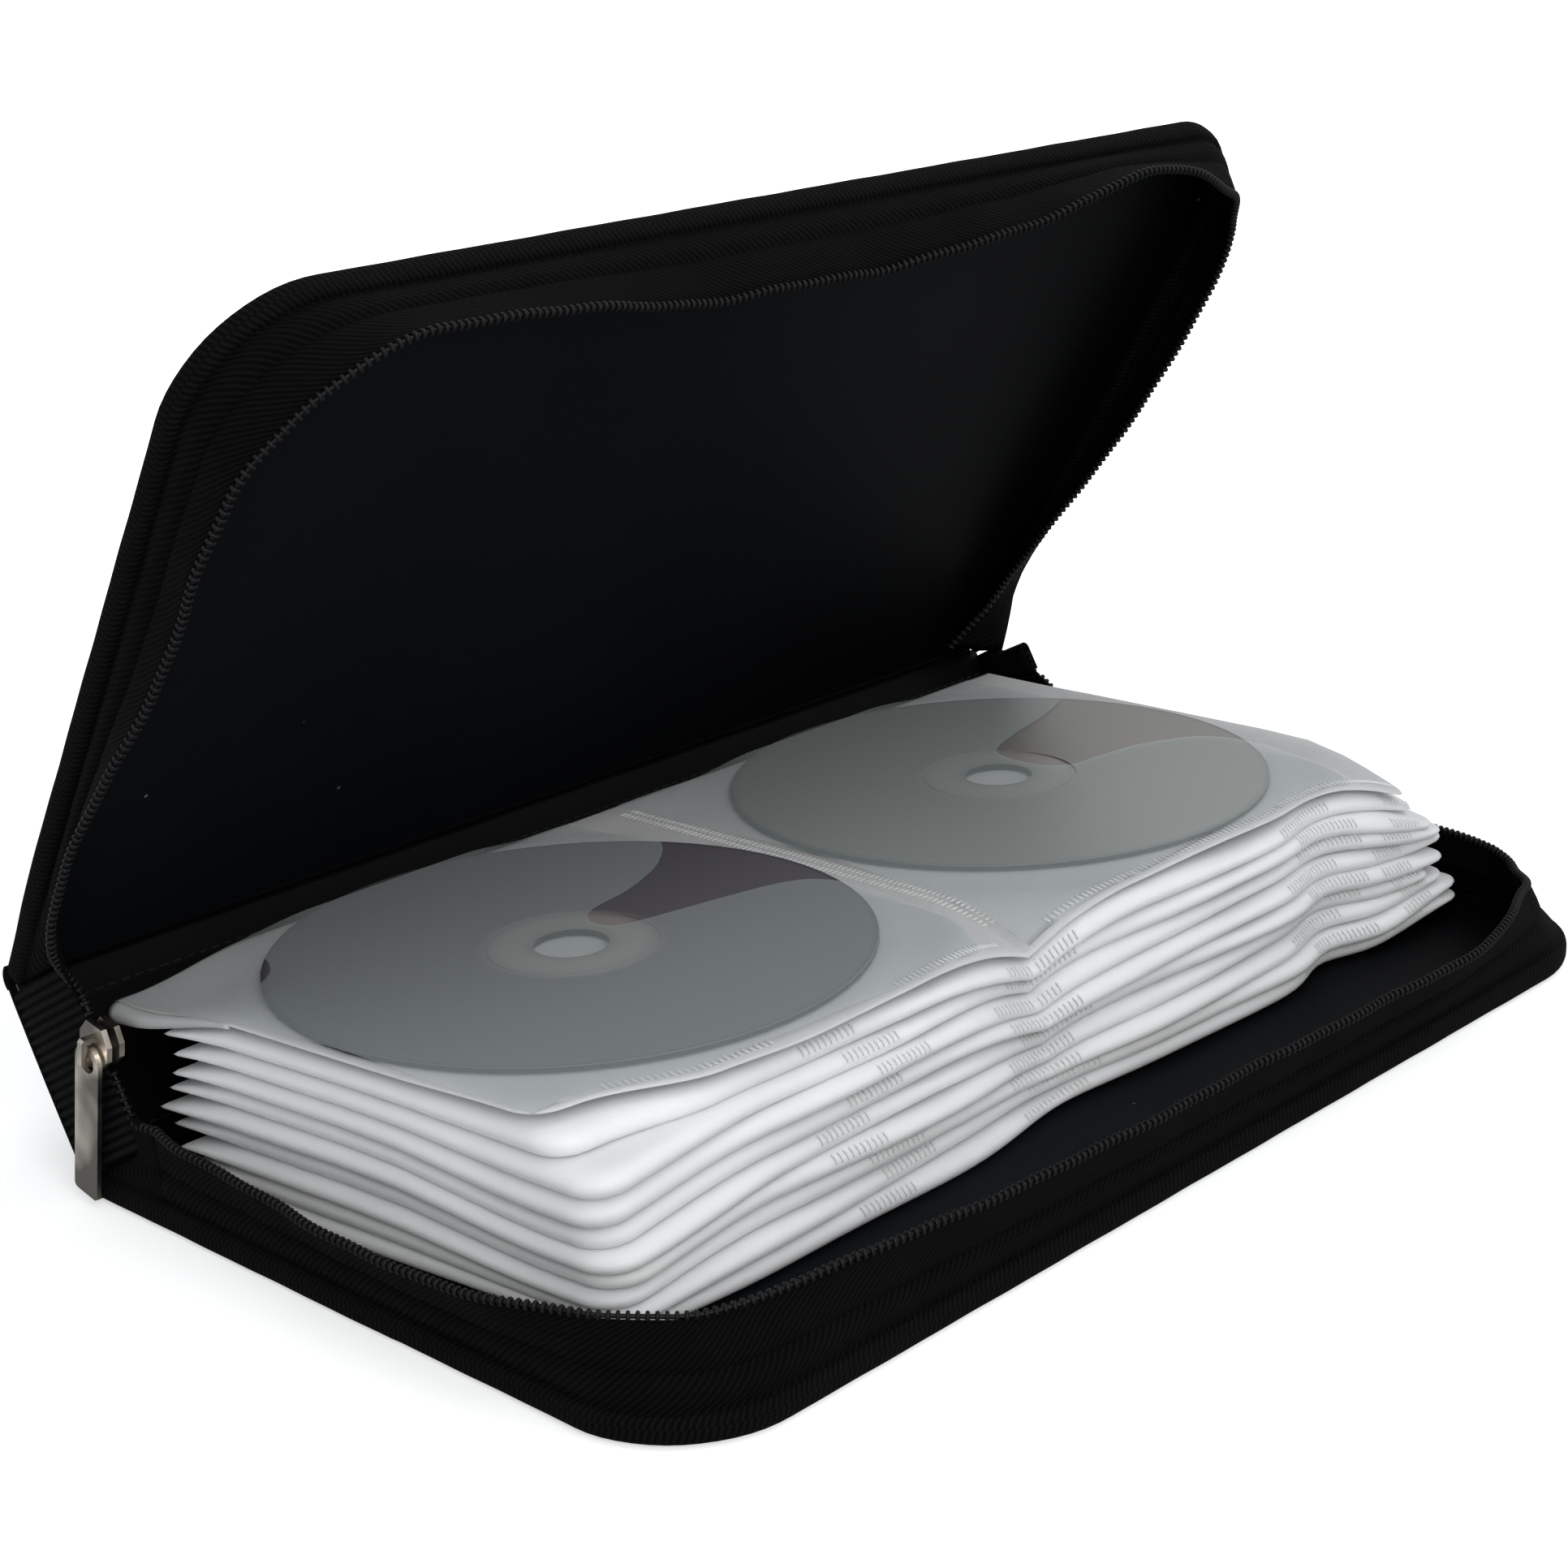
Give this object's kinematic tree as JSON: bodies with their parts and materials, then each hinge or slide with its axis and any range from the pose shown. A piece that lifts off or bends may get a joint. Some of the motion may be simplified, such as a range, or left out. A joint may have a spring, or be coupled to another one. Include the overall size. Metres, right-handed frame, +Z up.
{
  "type": "cd storage case",
  "caption": "Black nylon zip-round case for compact discs, lying open with its lid leaning over white sleeves that hold discs under clear film",
  "frame": {"origin": "centre of the lower cover's underside, on the surface that the case lies on", "axes": "X along the spine, Y from the opening side towards the spine, Z up"},
  "size_m": [0.2968, 0.1881, 0.1803],
  "materials": {
    "nylon": "woven black nylon, matt",
    "binding": "ribbed black binding tape, matt",
    "tape": "black twill zip tape, matt",
    "coil": "black nylon zip coil, slight sheen",
    "lining": "smooth coated lining, bluish black, faint sheen",
    "board": "grey stiffening board, hidden",
    "strip": "smooth black strip, sewn with two ridges",
    "rib": "black grosgrain, horizontal ribs",
    "metal": "satin nickel, warm grey",
    "sleeve": "white nonwoven and milky film leaves",
    "film": "clear film, slightly frosted",
    "disc": "plain printed face, grey"
  },
  "bodies": {
    "lower_cover": {"lower_cover_shell": "nylon", "lower_cover_board": "board", "lower_cover_lining": "lining", "lower_edge_binding": "binding", "lower_zip_tape": "tape", "lower_zip_coil": "coil", "sleeve_block": "sleeve", "top_leaf_sheet": "sleeve", "disc_left": "disc", "disc_right": "disc", "pocket_film_left": "film", "pocket_film_right": "film"},
    "spine": {"spine_shell": "nylon", "spine_board": "board", "spine_inner_strip": "strip", "left_end_gusset": "rib", "right_end_gusset": "rib", "zip_end_tab": "rib", "zip_slider": "metal", "left_gusset_coil_low": "coil", "left_gusset_coil_high": "coil", "right_gusset_coil": "coil"},
    "lid": {"upper_cover_shell": "nylon", "upper_cover_board": "board", "upper_cover_lining": "lining", "upper_edge_binding": "binding", "upper_zip_tape": "tape", "upper_zip_coil": "coil"},
    "pull": {"zip_pull_tab": "metal"}
  },
  "joints": [
    {"name": "spine_fold", "type": "hinge", "parent": "lower_cover", "child": "spine", "pos_m": [0, 0.0825, 0.0039], "axis": [1, 0, 0], "range_deg": [-61.6, 28.4]},
    {"name": "lid_fold", "type": "hinge", "parent": "spine", "child": "lid", "pos_m": [0, 0.10248, 0.04084], "axis": [1, 0, 0], "range_deg": [-61.6, 28.4]},
    {"name": "pull_swing", "type": "hinge", "parent": "spine", "child": "pull", "pos_m": [-0.147, 0.0748, 0.03467], "axis": [0, 0.9744, 0.225], "range_deg": [0, 150]}
  ],
  "couplings": [
    {"joint": "lid_fold", "follows": "spine_fold", "ratio": 1}
  ]
}
